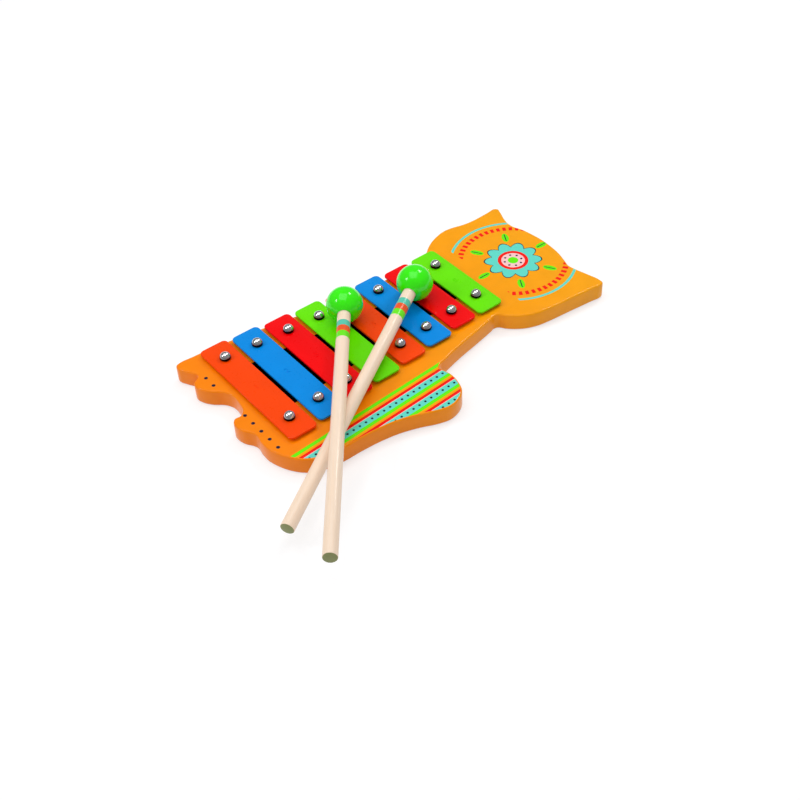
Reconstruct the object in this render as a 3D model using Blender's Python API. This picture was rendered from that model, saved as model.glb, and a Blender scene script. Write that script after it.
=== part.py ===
"""A toy metallophone: eight metal tone bars on a board cut to an animal's outline, and two mallets.

The frame: +X runs along the row of bars, from the longest to the shortest. +Y is across the row, away from
the board's tail. +Z is up. The origin is on the board's underside, below the middle of the row.
"""

import math

import bmesh
import bpy
from mathutils import Matrix, Vector

MM = 0.001

# The row of bars
BAR_LENGTHS = (127.5 * MM, 122.5 * MM, 116.0 * MM, 110.5 * MM, 104.5 * MM, 99.5 * MM, 92.0 * MM, 91.0 * MM)
BAR_PITCH = 28.5 * MM
BAR_WIDTH = 25.0 * MM
BAR_THICKNESS = 2.0 * MM
BAR_CORNER_RADIUS = 4.0 * MM
BAR_EDGE_CHAMFER = 0.4 * MM
BAR_PLAY = 0.25 * MM
BAR_HOLE_CLEARANCE = 0.8 * MM

# The pins and the washers round them
PIN_OFFSET_LONGEST = 44.0 * MM
PIN_OFFSET_SHORTEST = 26.0 * MM
PIN_HEAD_DIAMETER = 9.0 * MM
PIN_HEAD_HEIGHT = 5.2 * MM
PIN_SHANK_DIAMETER = 3.0 * MM
PIN_DEPTH_IN_BOARD = 10.0 * MM
WASHER_DIAMETER = 9.5 * MM
WASHER_THICKNESS = 1.5 * MM

# The board
BOARD_THICKNESS = 15.0 * MM
BOARD_EDGE_RADIUS = 1.5 * MM
BOARD_PAST_LONGEST_BAR = 3.0 * MM
BOARD_PAST_SHORTEST_BAR = 2.0 * MM
TROUGH_DEPTH = 9.0 * MM
TROUGH_FROM_PINS = 12.5 * MM
TROUGH_PAST_OUTER_PINS = 4.0 * MM
TROUGH_CORNER_RADIUS = 4.0 * MM

# The mallets
MALLET_HEAD_DIAMETER = 30.0 * MM
MALLET_STICK_DIAMETER = 10.8 * MM
MALLET_REACH = 264.0 * MM
MALLET_STICK_PAST_HEAD_CENTRE = 5.0 * MM
MALLET_STICK_END_RADIUS = 0.8 * MM
RIGHT_HEAD_PLACE = (60.5 * MM, 4.6 * MM)
RIGHT_STICK_HEADING = math.radians(-148.5)
LEFT_HEAD_PLACE = (0.4 * MM, 19.6 * MM)
LEFT_STICK_HEADING = math.radians(-128.75)

# The gaps between separate pieces, and how finely round shapes are cut
GAP = 0.3 * MM
OUTLINE_STEPS = 3
EDGE_STEPS = 2
CORNER_STEPS = 4
HOLE_SIDES = 12
PIN_SIDES = 14
PIN_HEAD_RINGS = 3
WASHER_SIDES = 16
STICK_SIDES = 20
HEAD_SIDES = 28
HEAD_RINGS = 14

# The colours, as linear values
ORANGE_PAINT = (1.0, 0.25, 0.0)
CHROME = (0.75, 0.75, 0.76)
FELT = (0.85, 0.84, 0.8)
PALE_WOOD = (0.9, 0.74, 0.57)
GREEN_GLOSS = (0.05, 0.85, 0.005)
BAR_COLOURS = (
    ("bar_vermilion", (0.9, 0.065, 0.0)),
    ("bar_blue", (0.0, 0.25, 0.8)),
    ("bar_red", (0.85, 0.0, 0.0)),
    ("bar_green", (0.14, 0.85, 0.0)),
)

# What follows from those sizes
BAR_COUNT = len(BAR_LENGTHS)
ROW_END = (BAR_COUNT - 1) / 2 * BAR_PITCH + BAR_WIDTH / 2
BAR_UNDERSIDE = BOARD_THICKNESS + GAP + WASHER_THICKNESS + GAP
BAR_TOP = BAR_UNDERSIDE + BAR_THICKNESS
PIN_HEAD_UNDERSIDE = BAR_TOP + BAR_PLAY + GAP
HOLE_DIAMETER = PIN_SHANK_DIAMETER + 2 * BAR_HOLE_CLEARANCE
HEAD_RADIUS = MALLET_HEAD_DIAMETER / 2
STICK_RADIUS = MALLET_STICK_DIAMETER / 2

# The board's outline, as points round it. Each run is measured from the corner of the row that it goes round.
PAWS_FROM_FAR_LONG_CORNER = (
    (-6.1, 4.1), (-15.3, 4.6), (-19.6, 3.2), (-20.7, 0.0), (-18.3, -6.8), (-14.4, -13.8), (-12.6, -17.4),
    (-14.9, -20.4), (-19.3, -23.0), (-21.1, -28.0), (-19.8, -33.3), (-15.0, -40.8), (-7.8, -47.8), (-4.9, -54.0),
)
PAW_AND_TAIL_FROM_NEAR_LONG_CORNER = (
    (-5.6, 60.8), (-7.4, 53.8), (-12.3, 49.8), (-17.6, 49.8), (-20.7, 46.3), (-21.4, 41.3), (-19.8, 34.3),
    (-16.4, 28.8), (-15.0, 25.0), (-16.1, 16.8), (-16.4, 8.8), (-14.0, -1.2), (-8.8, -11.8), (-0.8, -20.8),
    (10.2, -26.2), (24.2, -28.5), (42.2, -28.8), (59.4, -29.9), (76.2, -32.8), (91.2, -37.8), (105.6, -44.0),
    (114.2, -46.0), (124.2, -44.0), (132.8, -37.8), (137.0, -28.2), (138.2, -18.2), (137.0, -11.8),
    (135.8, -7.6), (138.4, -4.6), (145.2, -2.4),
)
NECK_AND_HEAD_FROM_NEAR_SHORT_CORNER = (
    (-19.0, -7.2), (-14.6, -6.1), (-11.4, -6.9), (-7.8, -11.7), (-2.4, -17.3), (5.8, -22.9), (15.8, -26.7),
    (27.8, -28.6), (48.4, -30.5), (72.0, -33.0), (78.4, -33.7), (82.0, -32.4), (82.6, -28.4), (80.4, -16.6),
    (77.2, -3.0), (76.6, 2.4), (78.8, 9.4), (82.0, 19.7), (84.0, 33.5),
)
HEAD_AND_NECK_FROM_FAR_SHORT_CORNER = (
    (84.4, -46.5), (83.6, -36.5), (81.6, -24.5), (78.6, -15.5), (78.5, -10.0), (80.6, -2.2), (84.9, 8.0),
    (86.0, 12.3), (83.6, 14.8), (76.8, 14.6), (52.8, 14.4), (45.8, 15.6), (38.2, 17.8), (29.2, 19.0),
    (18.8, 17.1), (9.6, 13.5), (2.2, 8.9), (-3.4, 4.6),
)


def bar_x(index):
    return (index - (BAR_COUNT - 1) / 2) * BAR_PITCH


def pin_offset(index):
    """How far a bar's two pins stand from the middle of the row."""
    share = index / (BAR_COUNT - 1)
    return PIN_OFFSET_LONGEST + share * (PIN_OFFSET_SHORTEST - PIN_OFFSET_LONGEST)


def pin_places():
    """Every pin's name and place in plan, bar by bar, the far one first."""
    for index in range(BAR_COUNT):
        for side, sign in (("far", 1), ("near", -1)):
            yield f"{index + 1}_{side}", (bar_x(index), sign * pin_offset(index))


def paint(name, colour, roughness, metallic=0.0):
    material = bpy.data.materials.get(name)
    if material:
        return material
    material = bpy.data.materials.new(name)
    material.use_nodes = True
    shader = material.node_tree.nodes["Principled BSDF"]
    shader.inputs["Base Color"].default_value = (*colour, 1.0)
    shader.inputs["Roughness"].default_value = roughness
    shader.inputs["Metallic"].default_value = metallic
    return material


def add_object(name, mesh_data, material):
    """Turns a bmesh into a named object with one material."""
    mesh = bpy.data.meshes.new(name)
    bmesh.ops.recalc_face_normals(mesh_data, faces=mesh_data.faces)
    mesh_data.to_mesh(mesh)
    mesh_data.free()
    mesh.materials.append(material)
    mesh.shade_smooth()
    mesh.set_sharp_from_angle(angle=math.radians(35))
    obj = bpy.data.objects.new(name, mesh)
    bpy.context.scene.collection.objects.link(obj)
    return obj


def add_cutter(name, mesh_data):
    """A shape that only cuts others: it shows as a wire and isn't a piece."""
    cutter = add_object(name, mesh_data, paint("cutter", (0.5, 0.5, 0.5), 0.5))
    cutter.hide_render = True
    cutter.display_type = "WIRE"
    return cutter


def cut(obj, cutter):
    modifier = obj.modifiers.new("cut", "BOOLEAN")
    modifier.operation = "DIFFERENCE"
    modifier.solver = "EXACT"
    modifier.object = cutter


def extrude_outline(mesh_data, outline, bottom, top):
    """Adds a closed prism over an outline of plan points, and returns its top and bottom edges."""
    verts = [mesh_data.verts.new((x, y, bottom)) for x, y in outline]
    floor = mesh_data.faces.new(verts)
    moved = bmesh.ops.extrude_face_region(mesh_data, geom=[floor], use_keep_orig=True)["geom"]
    raised = [item for item in moved if isinstance(item, bmesh.types.BMVert)]
    bmesh.ops.translate(mesh_data, verts=raised, vec=(0, 0, top - bottom))
    lid = next(item for item in moved if isinstance(item, bmesh.types.BMFace))
    return list(floor.edges) + list(lid.edges)


def rounded_polygon(corners, radius):
    """A polygon's outline with each corner rounded to the same radius."""
    points = []
    count = len(corners)
    for index, corner in enumerate(corners):
        here = Vector(corner)
        before = (Vector(corners[index - 1]) - here).normalized()
        after = (Vector(corners[(index + 1) % count]) - here).normalized()
        half_angle = before.angle(after) / 2
        bisector = (before + after).normalized()
        centre = here + bisector * (radius / math.sin(half_angle))
        start = here + before * (radius / math.tan(half_angle)) - centre
        end = here + after * (radius / math.tan(half_angle)) - centre
        turn = start.angle_signed(end)
        for step in range(CORNER_STEPS + 1):
            arm = start.copy()
            arm.rotate(Matrix.Rotation(-turn * step / CORNER_STEPS, 2))
            points.append(tuple(centre + arm))
    return points


def turned(profile, sides):
    """A closed body turned about Z from a profile of radius and height that starts and ends on the axis or
    comes back to its start."""
    mesh_data = bmesh.new()
    closed = profile[0][0] > 0 and profile[-1][0] > 0
    rings = []
    for radius, height in profile:
        if radius == 0:
            rings.append([mesh_data.verts.new((0, 0, height))])
            continue
        angles = [2 * math.pi * side / sides for side in range(sides)]
        rings.append([mesh_data.verts.new((radius * math.cos(a), radius * math.sin(a), height)) for a in angles])
    pairs = list(zip(rings, rings[1:]))
    if closed:
        pairs.append((rings[-1], rings[0]))
    for lower, upper in pairs:
        for side in range(sides):
            after = (side + 1) % sides
            if len(lower) == 1:
                mesh_data.faces.new((lower[0], upper[side], upper[after]))
            elif len(upper) == 1:
                mesh_data.faces.new((lower[side], lower[after], upper[0]))
            else:
                mesh_data.faces.new((lower[side], lower[after], upper[after], upper[side]))
    return mesh_data


def board_outline_points():
    """The outline's own points, in order round the board."""
    long_half = BAR_LENGTHS[0] / 2
    short_half = BAR_LENGTHS[-1] / 2
    runs = (
        (PAWS_FROM_FAR_LONG_CORNER, -ROW_END, long_half),
        (PAW_AND_TAIL_FROM_NEAR_LONG_CORNER, -ROW_END, -long_half),
        (NECK_AND_HEAD_FROM_NEAR_SHORT_CORNER, ROW_END, -short_half),
        (HEAD_AND_NECK_FROM_FAR_SHORT_CORNER, ROW_END, short_half),
    )
    points = [Vector((x + dx * MM, y + dy * MM)) for run, x, y in runs for dx, dy in run]
    points.append(Vector((bar_x(BAR_COUNT - 1), short_half + BOARD_PAST_SHORTEST_BAR)))
    points.append(Vector((bar_x(0), long_half + BOARD_PAST_LONGEST_BAR)))
    return points


def smooth_closed(points, steps):
    """A closed curve through the points, each span's two ends pulled by a third of its own length."""
    count = len(points)
    tangents = []
    for index, point in enumerate(points):
        before = point - points[index - 1]
        after = points[(index + 1) % count] - point
        weighted = before / before.length ** 2 + after / after.length ** 2
        tangents.append(weighted.normalized())
    curve = []
    for index, start in enumerate(points):
        following = (index + 1) % count
        end = points[following]
        pull = (end - start).length / 3
        handle_a = start + tangents[index] * pull
        handle_b = end - tangents[following] * pull
        for step in range(steps):
            t = step / steps
            s = 1 - t
            curve.append(s ** 3 * start + 3 * s * s * t * handle_a + 3 * s * t * t * handle_b + t ** 3 * end)
    return curve


def make_board():
    outline = smooth_closed(board_outline_points(), OUTLINE_STEPS)
    mesh_data = bmesh.new()
    edges = extrude_outline(mesh_data, outline, 0.0, BOARD_THICKNESS)
    bmesh.ops.bevel(mesh_data, geom=edges, offset=BOARD_EDGE_RADIUS, segments=EDGE_STEPS, profile=0.5,
                    affect="EDGES", clamp_overlap=False)
    board = add_object("board", mesh_data, paint("orange_paint", ORANGE_PAINT, 0.25))
    cut(board, make_trough_cutter())
    cut(board, make_hole_cutter("board_hole_cutter", BOARD_THICKNESS - PIN_DEPTH_IN_BOARD - GAP,
                                BOARD_THICKNESS + PIN_DEPTH_IN_BOARD, PIN_SHANK_DIAMETER + 2 * GAP))
    return board


def make_trough_cutter():
    """The trough narrows with the row, so that both its edges follow the pins."""
    half_long = pin_offset(0) - TROUGH_FROM_PINS
    half_short = pin_offset(BAR_COUNT - 1) - TROUGH_FROM_PINS
    low_x = bar_x(0) - TROUGH_PAST_OUTER_PINS
    high_x = bar_x(BAR_COUNT - 1) + TROUGH_PAST_OUTER_PINS
    corners = ((low_x, half_long), (low_x, -half_long), (high_x, -half_short), (high_x, half_short))
    mesh_data = bmesh.new()
    outline = rounded_polygon(corners, TROUGH_CORNER_RADIUS)
    extrude_outline(mesh_data, outline, BOARD_THICKNESS - TROUGH_DEPTH, BOARD_THICKNESS + TROUGH_DEPTH)
    return add_cutter("trough_cutter", mesh_data)


def make_hole_cutter(name, bottom, top, diameter):
    """One upright cylinder at every pin."""
    mesh_data = bmesh.new()
    for _, (x, y) in pin_places():
        place = Matrix.Translation((x, y, (bottom + top) / 2))
        bmesh.ops.create_cone(mesh_data, cap_ends=True, segments=HOLE_SIDES, radius1=diameter / 2,
                              radius2=diameter / 2, depth=top - bottom, matrix=place)
    return add_cutter(name, mesh_data)


def make_bars():
    cutter = make_hole_cutter("bar_hole_cutter", BAR_UNDERSIDE - BAR_THICKNESS, BAR_TOP + BAR_THICKNESS,
                              HOLE_DIAMETER)
    for index, length in enumerate(BAR_LENGTHS):
        half_width = BAR_WIDTH / 2
        half_length = length / 2
        corners = ((-half_width, half_length), (-half_width, -half_length), (half_width, -half_length),
                   (half_width, half_length))
        mesh_data = bmesh.new()
        edges = extrude_outline(mesh_data, rounded_polygon(corners, BAR_CORNER_RADIUS), 0.0, BAR_THICKNESS)
        bmesh.ops.bevel(mesh_data, geom=edges, offset=BAR_EDGE_CHAMFER, segments=1, affect="EDGES",
                        clamp_overlap=False)
        name, colour = BAR_COLOURS[index % len(BAR_COLOURS)]
        bar = add_object(f"bar_{index + 1}", mesh_data, paint(name, colour, 0.3, 0.2))
        bar.location = (bar_x(index), 0.0, BAR_UNDERSIDE)
        cut(bar, cutter)


def make_pins():
    """A pin is a domed head on a plain shank, which stands in a blind hole in the board."""
    dome_radius = (PIN_HEAD_DIAMETER ** 2 / 4 + PIN_HEAD_HEIGHT ** 2) / (2 * PIN_HEAD_HEIGHT)
    dome_sweep = math.atan2(PIN_HEAD_DIAMETER / 2, dome_radius - PIN_HEAD_HEIGHT)
    shank_bottom = BOARD_THICKNESS - PIN_DEPTH_IN_BOARD - PIN_HEAD_UNDERSIDE
    profile = [(0.0, shank_bottom), (PIN_SHANK_DIAMETER / 2, shank_bottom), (PIN_SHANK_DIAMETER / 2, 0.0)]
    for ring in range(PIN_HEAD_RINGS):
        angle = dome_sweep * (1 - ring / PIN_HEAD_RINGS)
        height = PIN_HEAD_HEIGHT - dome_radius * (1 - math.cos(angle))
        profile.append((dome_radius * math.sin(angle), height))
    profile.append((0.0, PIN_HEAD_HEIGHT))
    for name, (x, y) in pin_places():
        pin = add_object(f"pin_{name}", turned(profile, PIN_SIDES), paint("chrome", CHROME, 0.08, 1.0))
        pin.location = (x, y, PIN_HEAD_UNDERSIDE)


def make_washers():
    inner = PIN_SHANK_DIAMETER / 2 + GAP
    outer = WASHER_DIAMETER / 2
    profile = [(inner, 0.0), (outer, 0.0), (outer, WASHER_THICKNESS), (inner, WASHER_THICKNESS)]
    for name, (x, y) in pin_places():
        washer = add_object(f"washer_{name}", turned(profile, WASHER_SIDES), paint("felt", FELT, 0.95))
        washer.location = (x, y, BOARD_THICKNESS + GAP)


def heading_vector(heading):
    return Vector((math.cos(heading), math.sin(heading), 0.0))


def head_centre(place):
    """A mallet's head lies on the bars, just clear of their play."""
    return Vector((*place, BAR_TOP + BAR_PLAY + GAP + HEAD_RADIUS))


def stick_direction(heading, tilt):
    return heading_vector(heading) * math.cos(tilt) + Vector((0.0, 0.0, math.sin(tilt)))


def over_a_bar(x, y):
    rows = enumerate(BAR_LENGTHS)
    return any(abs(x - bar_x(index)) <= BAR_WIDTH / 2 and abs(y) <= length / 2 for index, length in rows)


def over_the_board(x, y):
    """Whether a plan point lies inside the board's outline, by counting the edges to its right."""
    outline = smooth_closed(board_outline_points(), OUTLINE_STEPS)
    inside = False
    for a, b in zip(outline, outline[1:] + outline[:1]):
        if (a.y > y) != (b.y > y) and x < a.x + (y - a.y) * (b.x - a.x) / (b.y - a.y):
            inside = not inside
    return inside


def last_reach_over(covered, centre, along):
    """How far out along a stick something is still below it, to the nearest millimetre."""
    reaches = [step * MM for step in range(int(MALLET_REACH / MM))]
    covering = [reach for reach in reaches if covered(*(centre + along * reach).xy)]
    return covering[-1]


def resting_tilts(centre, heading):
    """The falls at which a stick would clear each dome, the last bar and the board's edge by one gap."""
    along = heading_vector(heading)
    across = Vector((-along.y, along.x, 0.0))
    dome_radius = (PIN_HEAD_DIAMETER ** 2 / 4 + PIN_HEAD_HEIGHT ** 2) / (2 * PIN_HEAD_HEIGHT)
    dome_height = PIN_HEAD_UNDERSIDE + PIN_HEAD_HEIGHT - dome_radius
    supports = [(last_reach_over(over_a_bar, centre, along), 0.0, BAR_TOP + BAR_PLAY, 0.0),
                (last_reach_over(over_the_board, centre, along), 0.0, BOARD_THICKNESS, 0.0)]
    for _, place in pin_places():
        dome = Vector((*place, dome_height)) - centre
        supports.append((dome.dot(along), dome.dot(across), dome_height, dome_radius))
    tilts = []
    for ahead, aside, height, radius in supports:
        reach = radius + STICK_RADIUS + GAP
        if abs(aside) < reach and 0 < ahead < MALLET_REACH:
            lift = math.sqrt(reach ** 2 - aside ** 2)
            drop = centre.z - height
            tilts.append(math.asin(lift / math.hypot(drop, ahead)) - math.atan2(drop, ahead))
    return tilts


def tilt_on_stick(centre, heading, other_centre, other_direction):
    """The fall at which one stick lies across another, one gap above it."""
    low = math.radians(-30)
    high = math.radians(30)
    wanted = 2 * STICK_RADIUS + GAP
    for _ in range(60):
        middle = (low + high) / 2
        normal = stick_direction(heading, middle).cross(other_direction).normalized()
        if normal.z < 0:
            normal.negate()
        above = (centre - other_centre).dot(normal)
        if above < wanted:
            low = middle
        else:
            high = middle
    return high


def make_mallet(name, centre, direction):
    """A dowel whose end sits in a blind bore in a ball. Both lie along the same line."""
    turn = direction.to_track_quat("Z", "Y")
    place = Matrix.Translation(centre) @ turn.to_matrix().to_4x4()
    radius = STICK_RADIUS
    start = -MALLET_STICK_PAST_HEAD_CENTRE
    bevel = MALLET_STICK_END_RADIUS
    profile = [(0.0, start), (radius, start), (radius, MALLET_REACH - bevel), (radius - bevel, MALLET_REACH),
               (0.0, MALLET_REACH)]
    stick = add_object(f"{name}_stick", turned(profile, STICK_SIDES), paint("pale_wood", PALE_WOOD, 0.5))
    stick.matrix_world = place

    bore = radius + GAP
    mouth_angle = math.asin(bore / HEAD_RADIUS)
    profile = [(0.0, -HEAD_RADIUS)]
    for ring in range(1, HEAD_RINGS + 1):
        angle = (math.pi - mouth_angle) * ring / HEAD_RINGS
        profile.append((HEAD_RADIUS * math.sin(angle), -HEAD_RADIUS * math.cos(angle)))
    profile += [(bore, start - GAP), (0.0, start - GAP)]
    head = add_object(f"{name}_head", turned(profile, HEAD_SIDES), paint("green_gloss", GREEN_GLOSS, 0.12))
    head.matrix_world = place


def make_mallets():
    right_centre = head_centre(RIGHT_HEAD_PLACE)
    right_tilt = max(resting_tilts(right_centre, RIGHT_STICK_HEADING))
    right_direction = stick_direction(RIGHT_STICK_HEADING, right_tilt)
    make_mallet("mallet_right", right_centre, right_direction)

    left_centre = head_centre(LEFT_HEAD_PLACE)
    crossed_tilt = tilt_on_stick(left_centre, LEFT_STICK_HEADING, right_centre, right_direction)
    left_tilt = max(crossed_tilt, *resting_tilts(left_centre, LEFT_STICK_HEADING))
    make_mallet("mallet_left", left_centre, stick_direction(LEFT_STICK_HEADING, left_tilt))


for leftover in list(bpy.data.objects):
    bpy.data.objects.remove(leftover, do_unlink=True)
make_board()
make_bars()
make_pins()
make_washers()
make_mallets()
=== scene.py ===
"""The looks of a toy metallophone: enamelled tone bars on a painted board, chromed pins and two mallets."""

import math

import bmesh
import bpy
import numpy as np
from mathutils import Matrix, Vector


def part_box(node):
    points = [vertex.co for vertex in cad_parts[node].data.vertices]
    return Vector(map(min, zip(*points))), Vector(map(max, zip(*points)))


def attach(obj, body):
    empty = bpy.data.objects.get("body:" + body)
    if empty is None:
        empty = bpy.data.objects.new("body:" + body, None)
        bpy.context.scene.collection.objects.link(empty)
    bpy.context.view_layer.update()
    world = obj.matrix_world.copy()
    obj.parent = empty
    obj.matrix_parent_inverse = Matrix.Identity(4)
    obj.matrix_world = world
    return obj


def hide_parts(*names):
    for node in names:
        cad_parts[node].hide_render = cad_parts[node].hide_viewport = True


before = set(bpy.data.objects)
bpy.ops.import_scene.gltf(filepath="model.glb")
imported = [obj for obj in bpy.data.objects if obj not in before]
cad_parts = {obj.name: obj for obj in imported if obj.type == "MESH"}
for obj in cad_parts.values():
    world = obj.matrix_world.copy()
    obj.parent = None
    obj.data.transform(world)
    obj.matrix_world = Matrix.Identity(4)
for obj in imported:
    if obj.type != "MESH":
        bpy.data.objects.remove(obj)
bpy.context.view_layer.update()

# The camera stands before the long end of the row and looks down on the board, as in the photograph.
# Its lens is longer than normal, so the bars taper only a little with distance.
bpy.ops.object.camera_add(
    location=(-0.45076, -0.65797, 0.69671),
    rotation=(math.radians(46.514), math.radians(2.103), math.radians(-38.497)),
)
camera = bpy.context.object
camera.name = "camera"
camera.data.sensor_width = 36.0
camera.data.lens = 58.78
camera.data.clip_start = 0.01
bpy.context.scene.camera = camera
bpy.context.scene.view_settings.view_transform = "Standard"


# The studio is a white sweep under soft light: a wide box overhead and two small ones behind the board,
# which put the bright spots on the balls and the pin heads.
class Shade:
    """One output of a material's nodes. Plain sums on it add the Math nodes that work them out."""

    def __init__(self, finish, socket):
        self.finish = finish
        self.socket = socket

    def maths(self, operation, *others):
        values = dict(enumerate((self, *others)))
        return self.finish.node("Math", {"operation": operation}, values)

    def __add__(self, other):
        return self.maths("ADD", other)

    def __mul__(self, other):
        return self.maths("MULTIPLY", other)

    def __sub__(self, other):
        return self.maths("SUBTRACT", other)

    def __truediv__(self, other):
        return self.maths("DIVIDE", other)

    def __rsub__(self, other):
        return self.finish.node("Math", {"operation": "SUBTRACT"}, {0: other, 1: self})

    def __lt__(self, other):
        return self.maths("LESS_THAN", other)

    def __gt__(self, other):
        return self.maths("GREATER_THAN", other)

    def size(self):
        return self.maths("ABSOLUTE")

    def squared(self):
        return self.maths("MULTIPLY", self)

    def root(self):
        return self.maths("SQRT")

    def part(self, period):
        """How far the value is into its period, from 0 to 1."""
        return (self / period).maths("FRACT")


class Finish:
    """A node tree, and the calls that add nodes to it and set or link their sockets."""

    def __init__(self, owner):
        owner.use_nodes = True
        self.owner = owner
        self.tree = owner.node_tree

    def feed(self, entry, value):
        if isinstance(value, Shade):
            self.tree.links.new(value.socket, entry)
        else:
            entry.default_value = value

    def node(self, kind, settings, values, output=0):
        made = self.tree.nodes.new("ShaderNode" + kind)
        for setting, value in settings.items():
            if setting == "stops":
                self.fill_ramp(made.color_ramp, value)
            else:
                setattr(made, setting, value)
        for entry, value in values.items():
            self.feed(made.inputs[entry], value)
        return Shade(self, made.outputs[output]) if made.outputs else None

    def fill_ramp(self, ramp, stops):
        ramp.interpolation = "CONSTANT"
        while len(ramp.elements) < len(stops):
            ramp.elements.new(1.0)
        for element, (place, colour) in zip(ramp.elements, stops):
            element.position = place
            element.color = colour

    def mix(self, factor, first, second):
        return self.node("Mix", {"data_type": "RGBA"}, {0: factor, 6: first, 7: second}, 2)

    def place(self):
        """The point on the piece in millimetres, as a vector and as its three numbers."""
        point = self.node("TexCoord", {}, {}, 3)
        scaled = self.node("VectorMath", {"operation": "SCALE"}, {0: point, "Scale": 1000.0})
        return scaled, [self.node("SeparateXYZ", {}, {0: scaled}, axis) for axis in range(3)]

    def noise(self, point, scale, detail=2.0):
        return self.node("TexNoise", {}, {"Vector": point, "Scale": scale, "Detail": detail})

    def vary(self, point, scale, least, most):
        """A value that drifts over the piece from the least to the most."""
        return self.noise(point, scale) * (most - least) + least


def linear(red, green, blue):
    """A colour as read on a screen, from 0 to 255, as the light that it stands for."""
    levels = [level / 255 for level in (red, green, blue)]
    return (*(x / 12.92 if x < 0.04045 else ((x + 0.055) / 1.055) ** 2.4 for x in levels), 1.0)


def ray(finish, kind):
    return finish.node("LightPath", {}, {}, f"Is {kind} Ray")


def seen_directly(finish):
    """1 for what the camera, a gloss or glass sees, and 0 for light that falls on a surface."""
    return ray(finish, "Camera").maths("MAXIMUM", ray(finish, "Glossy")).maths("MAXIMUM",
                                                                             ray(finish, "Transmission"))


WORLD_ON_SURFACES = 0.5
WORLD_SEEN = 1.0
WORLD_IN_GLOSS = 0.25
world = bpy.data.worlds.new("studio")
bpy.context.scene.world = world
air = Finish(world)
background = world.node_tree.nodes["Background"]
air.feed(background.inputs["Color"], (1.0, 1.0, 1.0, 1.0))
seen = seen_directly(air) * (WORLD_SEEN - WORLD_ON_SURFACES)
dimmed_in_gloss = seen - ray(air, "Glossy") * (WORLD_SEEN - WORLD_IN_GLOSS)
air.feed(background.inputs["Strength"], dimmed_in_gloss + WORLD_ON_SURFACES)

bpy.ops.object.select_all(action="DESELECT")
bpy.ops.mesh.primitive_plane_add(size=8.0, location=(0.0, 0.0, -0.0004))
floor = bpy.context.object
floor.name = "floor"
paper = Finish(bpy.data.materials.new("white_paper"))
paper.tree.nodes.clear()
bounced = paper.node("BsdfDiffuse", {}, {"Color": (0.8, 0.8, 0.8, 1.0)})
shaded = paper.node("BsdfDiffuse", {}, {"Color": (0.46, 0.46, 0.47, 1.0)})
glow = paper.node("Emission", {}, {"Color": (1.0, 1.0, 1.0, 1.0), "Strength": 0.6})
shown = paper.node("AddShader", {}, {0: shaded, 1: glow})
both = paper.node("MixShader", {}, {0: seen_directly(paper), 1: bounced, 2: shown})
paper.node("OutputMaterial", {}, {"Surface": both})
floor.data.materials.append(paper.owner)

for name, place, width, power in (
    ("box_overhead", (-0.1, 0.1, 1.4), 1.1, 6.5),
    ("box_left", (-0.95, 0.45, 0.95), 0.28, 3.2),
    ("box_right", (0.85, 0.15, 1.05), 0.28, 3.2),
):
    bpy.ops.object.light_add(type="AREA", location=place)
    lamp = bpy.context.object
    lamp.name = name
    lamp.data.size = width
    lamp.data.energy = power
    lamp.rotation_euler = Vector(place).to_track_quat("Z", "Y").to_euler()


# The board is one piece of wood, cut to the outline of a lying animal, with a routed trough and
# rounded edges. It is sprayed a glossy orange. Plain stripes, dots and a rosette are printed on top.
ORANGE = linear(255, 136, 0)
YELLOW_ORANGE = linear(255, 168, 0)
TURQUOISE = linear(100, 222, 205)
PRINT_RED = linear(252, 18, 0)
PRINT_GREEN = linear(105, 245, 0)
PALE_PINK = linear(255, 205, 205)
INK = linear(12, 28, 58)
# Painted shade for the trough: near-black in place of its deep shadow.
TROUGH_PAINTED_SHADE = linear(10, 14, 13)


def start_piece():
    """Leaves nothing selected, so that the next operator acts on the new piece alone."""
    if bpy.context.object and bpy.context.object.mode != "OBJECT":
        bpy.ops.object.mode_set(mode="OBJECT")
    bpy.ops.object.select_all(action="DESELECT")


def take_up(piece):
    """Makes one object the selected and the active one."""
    start_piece()
    piece.select_set(True)
    bpy.context.view_layer.objects.active = piece


def select_edges(piece, wanted):
    """In edit mode, selects the edges whose two ends a test accepts."""
    bpy.ops.mesh.select_mode(type="EDGE")
    bpy.ops.mesh.select_all(action="DESELECT")
    mesh = bmesh.from_edit_mesh(piece.data)
    for edge in mesh.edges:
        edge.select_set(wanted(edge.verts[0].co, edge.verts[1].co))
    bmesh.update_edit_mesh(piece.data)


def cut_with(piece, cutter):
    """Cuts the cutter's shape out of the piece and throws the cutter away."""
    take_up(piece)
    modifier = piece.modifiers.new("cut", "BOOLEAN")
    modifier.operation = "DIFFERENCE"
    modifier.object = cutter
    bpy.ops.object.modifier_apply(modifier=modifier.name)
    bpy.data.objects.remove(cutter, do_unlink=True)


def finish_piece(piece, name, body, node, finish, crease=32.0):
    """Names the piece, gives it its paint and shading, and fixes it to the body it belongs to."""
    take_up(piece)
    bpy.ops.object.transform_apply(location=True, rotation=True, scale=True)
    bpy.ops.object.shade_smooth_by_angle(angle=math.radians(crease))
    piece.name = name
    piece.data.materials.clear()
    piece.data.materials.append(finish.owner)
    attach(piece, body)
    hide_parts(node)


def gloss(name, roughness, coat, specular):
    """A painted surface: an even colour under a clear coat."""
    finish = Finish(bpy.data.materials.new(name))
    shader = finish.tree.nodes["Principled BSDF"]
    shader.inputs["Roughness"].default_value = roughness
    shader.inputs["Coat Weight"].default_value = coat
    shader.inputs["Coat Roughness"].default_value = 0.04
    shader.inputs["Specular IOR Level"].default_value = specular
    finish.shader = shader
    return finish


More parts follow.
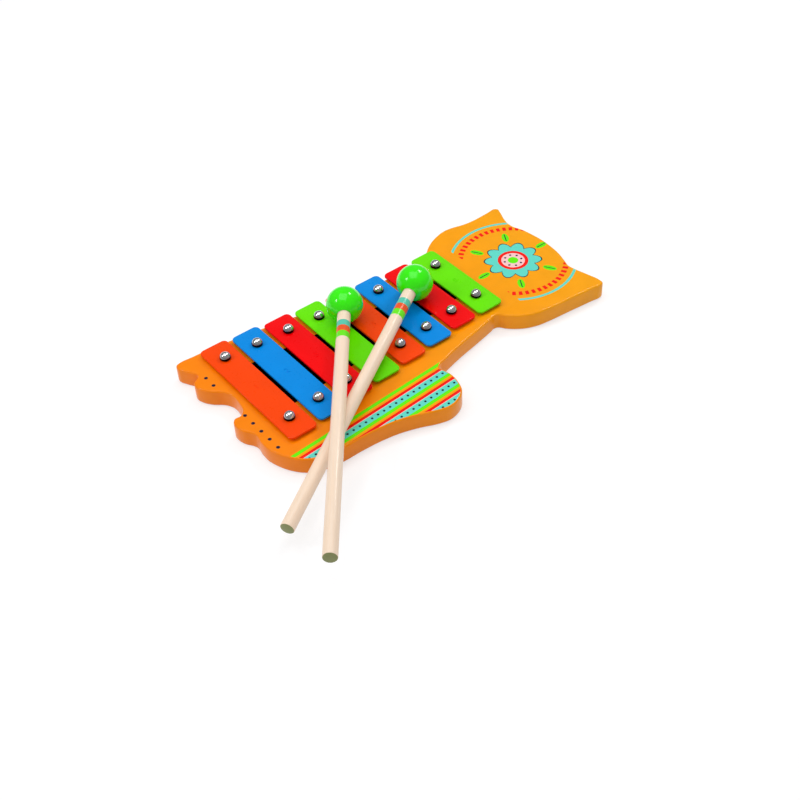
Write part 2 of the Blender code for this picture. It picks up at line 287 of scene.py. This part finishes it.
TO_MM = 1000.0
EDGE_ROUND = 0.0015
SAME_HEIGHT = 0.00003
board_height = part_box("board")[1].z
pin_names = [f"{row}_{side}" for row in range(1, 9) for side in ("far", "near")]
pin_centres = {}
for pin_name in pin_names:
    low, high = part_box(f"pin_{pin_name}")
    pin_centres[pin_name] = (low + high) / 2

start_piece()
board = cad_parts["board"].copy()
board.data = board.data.copy()
board.parent = None
bpy.context.scene.collection.objects.link(board)
take_up(board)
bpy.ops.object.mode_set(mode="EDIT")
bpy.ops.mesh.select_all(action="SELECT")
bpy.ops.mesh.remove_doubles(threshold=0.00001)
wall_top = board_height - EDGE_ROUND
select_edges(board, lambda a, b: max(abs(a.z - wall_top), abs(b.z - wall_top)) < SAME_HEIGHT)
bpy.ops.mesh.separate(type="SELECTED")
bpy.ops.object.mode_set(mode="OBJECT")
rim = next(obj for obj in bpy.context.selected_objects if obj != board)
bpy.data.objects.remove(board, do_unlink=True)
take_up(rim)
bpy.ops.object.convert(target="CURVE")
rim.data.dimensions = "2D"
bpy.ops.object.mode_set(mode="EDIT")
bpy.ops.curve.select_all(action="SELECT")
bpy.ops.curve.spline_type_set(type="BEZIER")
bpy.ops.curve.handle_type_set(type="AUTOMATIC")
bpy.ops.object.mode_set(mode="OBJECT")
rim.data.resolution_u = 4
rim.data.fill_mode = "BOTH"
rim.data.extrude = board_height / 2 - EDGE_ROUND
rim.data.bevel_depth = EDGE_ROUND
rim.data.bevel_resolution = 3
rim.data.offset = -EDGE_ROUND
rim.location.z = board_height / 2
bpy.ops.object.convert(target="MESH")
board = bpy.context.object
bpy.ops.object.transform_apply(location=True, rotation=True, scale=True)
bpy.ops.object.mode_set(mode="EDIT")
bpy.ops.mesh.select_all(action="SELECT")
bpy.ops.mesh.remove_doubles(threshold=0.00002)
bpy.ops.mesh.normals_make_consistent(inside=False)
bpy.ops.object.mode_set(mode="OBJECT")

# The trough's two long sides follow the pins, 12.5 mm inside them. Its corners are the router's round.
TROUGH_DEPTH = 0.009
TROUGH_FROM_PINS = 0.0125
TROUGH_PAST_PINS = 0.004
TROUGH_CORNER = 0.004
start_piece()
first = pin_centres["1_far"]
last = pin_centres["8_far"]
length = last.x - first.x + 2 * TROUGH_PAST_PINS
bpy.ops.mesh.primitive_cube_add(size=1.0, location=((first.x + last.x) / 2, 0.0, board_height))
trough = bpy.context.object
trough.scale = (length, 1.0, 2 * TROUGH_DEPTH)
bpy.ops.object.transform_apply(location=True, rotation=True, scale=True)
for vertex in trough.data.vertices:
    pin = first if vertex.co.x < 0 else last
    vertex.co.y = math.copysign(pin.y - TROUGH_FROM_PINS, vertex.co.y)
bpy.ops.object.mode_set(mode="EDIT")
select_edges(trough, lambda a, b: abs(a.z - b.z) > TROUGH_DEPTH)
bpy.ops.mesh.bevel(offset=TROUGH_CORNER, segments=8, affect="EDGES")
bpy.ops.object.mode_set(mode="OBJECT")
cut_with(board, trough)

PIN_BORE = 0.0018
BORE_PAST_PIN = 0.0003
start_piece()
bores = []
for pin_name in pin_names:
    place = pin_centres[pin_name]
    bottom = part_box(f"pin_{pin_name}")[0].z - BORE_PAST_PIN
    bpy.ops.mesh.primitive_cylinder_add(vertices=24, radius=PIN_BORE, depth=2 * (board_height - bottom),
                                        location=(place.x, place.y, board_height))
    bores.append(bpy.context.object)
start_piece()
for bore in bores:
    bore.select_set(True)
bpy.context.view_layer.objects.active = bores[0]
bpy.ops.object.join()
cut_with(board, bores[0])

# The orange turns yellower towards the wide end. The print's measures are in millimetres.
YELLOWER_FROM_X = -120.0
YELLOWER_OVER = 300.0
paint = gloss("board_paint", 0.3, 0.2, 0.14)
point, (x, y, z) = paint.place()
towards_head = ((x - YELLOWER_FROM_X) / YELLOWER_OVER).maths("MAXIMUM", 0.0).maths("MINIMUM", 1.0)
colour = paint.mix(towards_head, ORANGE, YELLOW_ORANGE)
mottle = paint.vary(point, 0.06, 0.92, 1.08)
colour = paint.node("VectorMath", {"operation": "SCALE"}, {0: colour, "Scale": mottle})

# A row of dots crosses the paws.
PAW_DOTS_X = -122.0
PAW_DOTS_MIDDLE_Y = -8.0
PAW_DOTS_REACH = 56.0
PAW_DOT_PITCH = 11.0
PAW_DOT_RADIUS = 1.5
dot_row = (x - PAW_DOTS_X).squared() + ((y.part(PAW_DOT_PITCH) - 0.5) * PAW_DOT_PITCH).squared()
on_paws = (dot_row.root() < PAW_DOT_RADIUS) * ((y - PAW_DOTS_MIDDLE_Y).size() < PAW_DOTS_REACH)
colour = paint.mix(on_paws, colour, INK)

# Stripes run the length of the tail, with a row of dots in each turquoise one.
TAIL_SLANT = 0.055
TAIL_FROM_Y = -67.5
TAIL_UP_TO_X = 40.0
STRIPE_PITCH = 14.0
STRIPE_DOT_PLACE = 0.2
STRIPE_DOT_PITCH = 6.0
STRIPE_DOT_RADIUS = 1.0
tail_line = y - x * TAIL_SLANT - TAIL_FROM_Y
stripe = tail_line.part(STRIPE_PITCH)
stripes = paint.node("ValToRGB", {"stops": (
    (0.0, TURQUOISE), (0.4, PALE_PINK), (0.43, PRINT_RED), (0.62, YELLOW_ORANGE), (0.78, PRINT_GREEN),
)}, {0: stripe})
dot_across = (stripe - STRIPE_DOT_PLACE) * STRIPE_PITCH
dot_along = (x.part(STRIPE_DOT_PITCH) - 0.5) * STRIPE_DOT_PITCH
stripe_dots = (dot_across.squared() + dot_along.squared()).root()
stripes = paint.mix(stripe_dots < STRIPE_DOT_RADIUS, stripes, INK)
on_tail = (tail_line < 0.0) * (x < TAIL_UP_TO_X)
colour = paint.mix(on_tail, colour, stripes)

# A rosette with leaves fills the wide end, between two fans of dashes.
ROSETTE_X = 158.0
ROSETTE_Y = -7.0
PETAL_PAIRS = 5.0
PETAL_FOOT = 18.0
PETAL_HEIGHT = 6.0
PETAL_LINE = 1.0
RED_DISC = 13.0
PINK_DISC = 10.0
GREEN_DISC = 4.4
SEED_TURN = math.pi / 4
SEED_DISTANCE = 7.4
SEED_RADIUS = 1.0
LEAF_TURN = math.pi / 3
LEAF_DISTANCE = 32.5
LEAF_HALF_LENGTH = 6.0
LEAF_HALF_WIDTH = 3.0
VEIN_SHARE = 0.8
VEIN_HALF_WIDTH = 0.4
FANS_FROM_X = 126.0
DASH_TURN = math.radians(7.0)
DASH_SHARE = 0.55
DASH_DISTANCE = 45.0
DASH_HALF_LENGTH = 2.4
ARC_DISTANCE = 53.0
ARC_HALF_WIDTH = 1.2
across = x - ROSETTE_X
upward = y - ROSETTE_Y
radius = (across.squared() + upward.squared()).root()
turn = upward.maths("ARCTAN2", across)
petal_edge = (turn * PETAL_PAIRS).maths("COSINE").size() * PETAL_HEIGHT + PETAL_FOOT
colour = paint.mix(radius < petal_edge + PETAL_LINE, colour, INK)
colour = paint.mix(radius < petal_edge, colour, TURQUOISE)
colour = paint.mix(radius < RED_DISC, colour, PRINT_RED)
colour = paint.mix(radius < PINK_DISC, colour, PALE_PINK)
seed_turn = ((turn / SEED_TURN).maths("FRACT") - 0.5) * SEED_TURN
seed = (radius * seed_turn.maths("SINE")).squared() + (radius - SEED_DISTANCE).squared()
colour = paint.mix(seed.root() < SEED_RADIUS, colour, INK)
colour = paint.mix(radius < GREEN_DISC, colour, PRINT_GREEN)
leaf_turn = (((turn + LEAF_TURN / 2) / LEAF_TURN).maths("FRACT") - 0.5) * LEAF_TURN
leaf_along = radius * leaf_turn.maths("COSINE") - LEAF_DISTANCE
leaf_across = radius * leaf_turn.maths("SINE")
leaf = ((leaf_along / LEAF_HALF_LENGTH).squared() + (leaf_across / LEAF_HALF_WIDTH).squared()).root()
colour = paint.mix(leaf < 1.0, colour, PRINT_GREEN)
colour = paint.mix((leaf < VEIN_SHARE) * (leaf_across.size() < VEIN_HALF_WIDTH), colour, INK)
in_fans = x > FANS_FROM_X
fan_dash = ((turn / DASH_TURN).maths("FRACT") < DASH_SHARE) * in_fans
colour = paint.mix(((radius - DASH_DISTANCE).size() < DASH_HALF_LENGTH) * fan_dash, colour, PRINT_RED)
colour = paint.mix(((radius - ARC_DISTANCE).size() < ARC_HALF_WIDTH) * in_fans, colour, TURQUOISE)

# The print lies on the flat top only. The trough's floor and sides get painted shade: near-black, standing
# in for the deep shadow under the bars.
PRINT_SKIN = 0.05
BLACK_BELOW_TOP = 0.3
BLACK_HALF_LENGTH = 104.5
BLACK_PAST_SIDES = 0.6
BLACK_LONG_END_X = -104.0
PIN_ROW_LENGTH = 199.5
BLACK_ABOVE = 5.0
top = board_height * TO_MM
bare = paint.node("VectorMath", {"operation": "SCALE"},
                  {0: paint.mix(towards_head, ORANGE, YELLOW_ORANGE), "Scale": mottle})
colour = paint.mix(z > top - PRINT_SKIN, bare, colour)
trough_painted_shade = (z < top - BLACK_BELOW_TOP) * (x.size() < BLACK_HALF_LENGTH)
half_width = (first.y - TROUGH_FROM_PINS) * TO_MM + BLACK_PAST_SIDES
narrowing = (first.y - last.y) * TO_MM / PIN_ROW_LENGTH
side_line = half_width - (x - BLACK_LONG_END_X) * narrowing
trough_painted_shade = trough_painted_shade * (y.size() < side_line) * (z > BLACK_ABOVE)
colour = paint.mix(trough_painted_shade, colour, TROUGH_PAINTED_SHADE)
paint.feed(paint.shader.inputs["Base Color"], colour)
paint.feed(paint.shader.inputs["Roughness"], paint.vary(point, 0.3, 0.25, 0.35))
ripple = paint.noise(point, 0.35, 3.0)
bumpy = paint.node("Bump", {}, {"Strength": 0.25, "Distance": 0.00008, "Height": ripple})
paint.feed(paint.shader.inputs["Normal"], bumpy)
finish_piece(board, "painted_board", "base", "board", paint)

# The washers are punched rings of pale felt. One lies round each pin, between the bar and the
# board, and keeps the bar clear of the wood so that it rings.
felt = gloss("felt", 0.95, 0.0, 0.1)
point, _ = felt.place()
fibres = felt.noise(point, 3.0, 6.0)
FELT_DARK = linear(205, 200, 188)
FELT_LIGHT = linear(245, 242, 232)
felt.feed(felt.shader.inputs["Base Color"], felt.mix(fibres, FELT_DARK, FELT_LIGHT))
felt.feed(felt.shader.inputs["Normal"],
          felt.node("Bump", {}, {"Strength": 0.8, "Distance": 0.0002, "Height": fibres}))
for pin_name in pin_names:
    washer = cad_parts[f"washer_{pin_name}"]
    washer.material_slots[0].material = felt.owner

# The tone bars are stamped from flat steel, with round corners and softened edges, and enamelled.
# Each has its number struck lightly into the middle, and lies loose on its washers round two pins.
BAR_CORNER = 0.004
BAR_EDGE = 0.0006
BAR_BORE = 0.0023
NUMBER_HEIGHT = 0.0075
NUMBER_DEPTH = 0.0003
BAR_ENAMELS = (
    ("bar_vermilion", linear(255, 72, 0)),
    ("bar_blue", linear(0, 142, 232)),
    ("bar_red", linear(250, 0, 6)),
    ("bar_green", linear(108, 236, 0)),
)
enamels = {}
for slot, hue in BAR_ENAMELS:
    enamel = gloss(slot + "_enamel", 0.3, 0.15, 0.12)
    point, _ = enamel.place()
    cloudy = enamel.vary(point, 0.05, 0.93, 1.07)
    tone = enamel.node("VectorMath", {"operation": "SCALE"}, {0: hue[:3], "Scale": cloudy})
    enamel.feed(enamel.shader.inputs["Base Color"], tone)
    enamel.feed(enamel.shader.inputs["Roughness"], enamel.vary(point, 0.5, 0.24, 0.34))
    peel = enamel.noise(point, 0.9, 3.0)
    enamel.feed(enamel.shader.inputs["Normal"],
                enamel.node("Bump", {}, {"Strength": 0.2, "Distance": 0.00005, "Height": peel}))
    enamels[slot] = enamel

for row in range(8):
    low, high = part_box(f"bar_{row + 1}")
    middle = (low + high) / 2
    start_piece()
    bpy.ops.mesh.primitive_cube_add(size=1.0, location=middle)
    bar = bpy.context.object
    bar.scale = high - low
    bpy.ops.object.transform_apply(location=True, rotation=True, scale=True)
    bpy.ops.object.mode_set(mode="EDIT")
    select_edges(bar, lambda a, b: abs(a.z - b.z) > 0.001)
    bpy.ops.mesh.bevel(offset=BAR_CORNER, segments=8, affect="EDGES")
    select_edges(bar, lambda a, b: abs(a.z - b.z) < 0.0001)
    bpy.ops.mesh.bevel(offset=BAR_EDGE, segments=3, affect="EDGES")
    bpy.ops.object.mode_set(mode="OBJECT")
    for side in ("far", "near"):
        pin = pin_centres[f"{row + 1}_{side}"]
        start_piece()
        bpy.ops.mesh.primitive_cylinder_add(vertices=32, radius=BAR_BORE, depth=0.01,
                                            location=(pin.x, pin.y, middle.z))
        cut_with(bar, bpy.context.object)
    start_piece()
    bpy.ops.object.text_add(location=(middle.x, middle.y, high.z))
    number = bpy.context.object
    number.data.body = str(row + 1)
    number.data.size = NUMBER_HEIGHT
    number.data.align_x = "CENTER"
    number.data.align_y = "CENTER"
    number.data.extrude = NUMBER_DEPTH
    bpy.ops.object.convert(target="MESH")
    number = bpy.context.object
    bpy.ops.object.mode_set(mode="EDIT")
    bpy.ops.mesh.select_all(action="SELECT")
    bpy.ops.mesh.remove_doubles(threshold=0.000001)
    bpy.ops.object.mode_set(mode="OBJECT")
    cut_with(bar, number)
    slot = BAR_ENAMELS[row % 4][0]
    finish_piece(bar, f"tone_bar_{row + 1}", f"bar_{row + 1}", f"bar_{row + 1}", enamels[slot])

# The pins are cold-headed steel nails with a round polished head. They are chromed and driven into the
# board, and hold the bars down loosely.
chrome = Finish(bpy.data.materials.new("polished_chrome"))
chrome.shader = chrome.tree.nodes["Principled BSDF"]
point, (x, y, z) = chrome.place()
chrome.shader.inputs["Metallic"].default_value = 1.0
head_verts = np.array([v.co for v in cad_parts["pin_1_far"].data.vertices])
head_reach = np.hypot(head_verts[:, 0] - pin_centres["1_far"].x, head_verts[:, 1] - pin_centres["1_far"].y)
shank_radius = float(head_reach[head_verts[:, 2] < board_height].max())
head_underside = float(head_verts[head_reach > 2 * shank_radius][:, 2].min())
head_top = float(head_verts[:, 2].max())
pin_foot = float(head_verts[:, 2].min())
head_radius = 0.0045
# Painted reflection: the chrome's colour runs from near-black at the head's rim to near-white higher up. It
# stands in for the dark ring and bright top that the dome reflects.
PAINTED_REFLECTION_DARK_SHARE = 0.3
PAINTED_REFLECTION_RAMP = 3.0
CHROME_PAINTED_DARK_REFLECTION = linear(14, 14, 16)
CHROME_PAINTED_BRIGHT_REFLECTION = linear(236, 236, 238)
head_height = head_top - head_underside
ball_radius = (head_radius ** 2 + head_height ** 2) / (2 * head_height)
# Painted reflection: dark low on the head, bright high on it.
rise = (z - head_underside * TO_MM) / (head_height * TO_MM)
painted_reflection = ((rise - PAINTED_REFLECTION_DARK_SHARE) * PAINTED_REFLECTION_RAMP).maths("MINIMUM", 1.0).maths("MAXIMUM", 0.0)
chrome.feed(chrome.shader.inputs["Base Color"], chrome.mix(painted_reflection, CHROME_PAINTED_DARK_REFLECTION, CHROME_PAINTED_BRIGHT_REFLECTION))
chrome.feed(chrome.shader.inputs["Roughness"], chrome.vary(point, 1.0, 0.05, 0.1))

start_piece()
bpy.ops.mesh.primitive_uv_sphere_add(segments=40, ring_count=28, radius=ball_radius,
                                     location=(0.0, 0.0, head_top - ball_radius))
pin = bpy.context.object
bpy.ops.object.transform_apply(location=True, rotation=True, scale=True)
bpy.ops.object.mode_set(mode="EDIT")
bpy.ops.mesh.select_all(action="SELECT")
bpy.ops.mesh.bisect(plane_co=(0.0, 0.0, head_underside), plane_no=(0.0, 0.0, 1.0), clear_inner=True,
                    use_fill=True)
bpy.ops.mesh.select_mode(type="FACE")
bpy.ops.mesh.select_all(action="DESELECT")
mesh = bmesh.from_edit_mesh(pin.data)
for face in mesh.faces:
    face.select_set(face.normal.z < -0.99)
bmesh.update_edit_mesh(pin.data)
bpy.ops.mesh.inset(thickness=head_radius - shank_radius)
bpy.ops.mesh.extrude_region_move(TRANSFORM_OT_translate={"value": (0.0, 0.0, pin_foot - head_underside)})
bpy.ops.object.mode_set(mode="OBJECT")
for pin_name in pin_names:
    copy = pin.copy()
    copy.data = pin.data.copy()
    bpy.context.scene.collection.objects.link(copy)
    copy.data.transform(Matrix.Translation((pin_centres[pin_name].x, pin_centres[pin_name].y, 0.0)))
    finish_piece(copy, f"chrome_pin_{pin_name}", "base", f"pin_{pin_name}", chrome, 50.0)
bpy.data.objects.remove(pin, do_unlink=True)

# A mallet is a pale dowel with three painted bands and a dipped end. It is glued into the bore of a
# wooden ball that is sprayed a glossy green.
STICK_ROUND = 0.0008
STICK_IN_BALL = 0.005
BALL_RADIUS = 0.015
BORE_CLEARANCE = 0.0003
BANDS = (
    (24.6, 31.2, linear(88, 205, 178)),
    (31.2, 37.9, linear(245, 88, 30)),
    (37.9, 44.6, linear(110, 240, 20)),
)
DIPPED = linear(136, 142, 84)
DIP_LENGTH = 0.25
WOOD_DARK = linear(255, 222, 190)
WOOD_LIGHT = linear(250, 232, 214)
WOOD_STREAK = linear(226, 180, 138)
STREAKS_FROM = 0.62
GRAIN_STRETCH = 0.03
BALL_GREEN = linear(58, 250, 4)[:3]
STICK_END_DEPTH = 0.0003

for side in ("left", "right"):
    verts = np.array([v.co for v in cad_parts[f"mallet_{side}_stick"].data.vertices])
    head_low, head_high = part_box(f"mallet_{side}_head")
    points = np.unique(np.round(verts, 7), axis=0)
    rough_axis = np.linalg.svd(points - points.mean(axis=0))[2][0]
    reaches = points @ rough_axis
    ends = [Vector(points[reaches < reaches.min() + STICK_END_DEPTH].mean(axis=0)),
            Vector(points[reaches > reaches.max() - STICK_END_DEPTH].mean(axis=0))]
    start, tip = sorted(ends, key=lambda end: (end - (head_low + head_high) / 2).length)
    axis = (tip - start).normalized()
    ball_centre = start + axis * STICK_IN_BALL
    reach = (tip - start).length
    offsets = [Vector(vert) - start for vert in verts]
    stick_radius = max((offset - axis * offset.dot(axis)).length for offset in offsets)
    place = Matrix.Translation(ball_centre) @ axis.to_track_quat("Z", "Y").to_matrix().to_4x4()

    wood = gloss(f"dowel_{side}", 0.4, 0.25, 0.3)
    point, _ = wood.place()
    local = place.inverted()
    rows = [tuple(local[row][:3]) for row in range(3)]
    away = [wood.node("VectorMath", {"operation": "DOT_PRODUCT"}, {0: point, 1: row}, 1) for row in rows]
    away = [value + local[row][3] * TO_MM for row, value in enumerate(away)]
    grain_point = wood.node("CombineXYZ", {}, {0: away[0], 1: away[1], 2: away[2] * GRAIN_STRETCH})
    grain = wood.noise(grain_point, 0.9, 4.0)
    tone = wood.mix(grain, WOOD_DARK, WOOD_LIGHT)
    streaks = wood.noise(grain_point, 3.0, 3.0)
    tone = wood.mix((streaks - STREAKS_FROM) * 2.0, tone, WOOD_STREAK)
    for near_edge, far_edge, hue in BANDS:
        tone = wood.mix((away[2] > near_edge) * (away[2] < far_edge), tone, hue)
    tone = wood.mix(away[2] > (reach - STICK_IN_BALL) * TO_MM - DIP_LENGTH, tone, DIPPED)
    wood.feed(wood.shader.inputs["Base Color"], tone)
    wood.feed(wood.shader.inputs["Roughness"], grain * 0.15 + 0.3)
    wood.feed(wood.shader.inputs["Normal"],
              wood.node("Bump", {}, {"Strength": 0.3, "Distance": 0.00005, "Height": streaks}))

    start_piece()
    bpy.ops.mesh.primitive_cylinder_add(vertices=64, radius=stick_radius, depth=reach,
                                        location=(0.0, 0.0, reach / 2 - STICK_IN_BALL))
    stick = bpy.context.object
    bpy.ops.object.transform_apply(location=True, rotation=True, scale=True)
    far_end = reach - STICK_IN_BALL
    bpy.ops.object.mode_set(mode="EDIT")
    select_edges(stick, lambda a, b: min(a.z, b.z) > far_end - 0.0001)
    bpy.ops.mesh.bevel(offset=STICK_ROUND, segments=3, affect="EDGES")
    bpy.ops.object.mode_set(mode="OBJECT")
    stick.data.transform(place)
    finish_piece(stick, f"{side}_stick", f"mallet_{side}", f"mallet_{side}_stick", wood)

    lacquer = gloss(f"ball_green_{side}", 0.2, 0.6, 0.2)
    point, _ = lacquer.place()
    depth = lacquer.vary(point, 0.08, 0.9, 1.1)
    lacquer.feed(lacquer.shader.inputs["Base Color"],
                 lacquer.node("VectorMath", {"operation": "SCALE"}, {0: BALL_GREEN, "Scale": depth}))
    lacquer.feed(lacquer.shader.inputs["Normal"],
                 lacquer.node("Bump", {}, {"Strength": 0.15, "Distance": 0.00006,
                                           "Height": lacquer.noise(point, 0.5)}))
    mouth = stick_radius + BORE_CLEARANCE
    mouth_height = math.sqrt(BALL_RADIUS ** 2 - mouth ** 2)
    start_piece()
    bpy.ops.mesh.primitive_uv_sphere_add(segments=72, ring_count=48, radius=BALL_RADIUS)
    ball = bpy.context.object
    bpy.ops.object.mode_set(mode="EDIT")
    bpy.ops.mesh.select_all(action="SELECT")
    bpy.ops.mesh.bisect(plane_co=(0.0, 0.0, mouth_height), plane_no=(0.0, 0.0, 1.0), clear_outer=True,
                        use_fill=True)
    bpy.ops.mesh.select_mode(type="FACE")
    bpy.ops.mesh.select_all(action="DESELECT")
    mesh = bmesh.from_edit_mesh(ball.data)
    for face in mesh.faces:
        face.select_set(face.normal.z > 0.9999)
    bmesh.update_edit_mesh(ball.data)
    bore_depth = mouth_height + STICK_IN_BALL + BORE_CLEARANCE
    bpy.ops.mesh.extrude_region_move(TRANSFORM_OT_translate={"value": (0.0, 0.0, -bore_depth)})
    bpy.ops.object.mode_set(mode="OBJECT")
    ball.data.transform(place)
    finish_piece(ball, f"{side}_ball", f"mallet_{side}", f"mallet_{side}_head", lacquer)
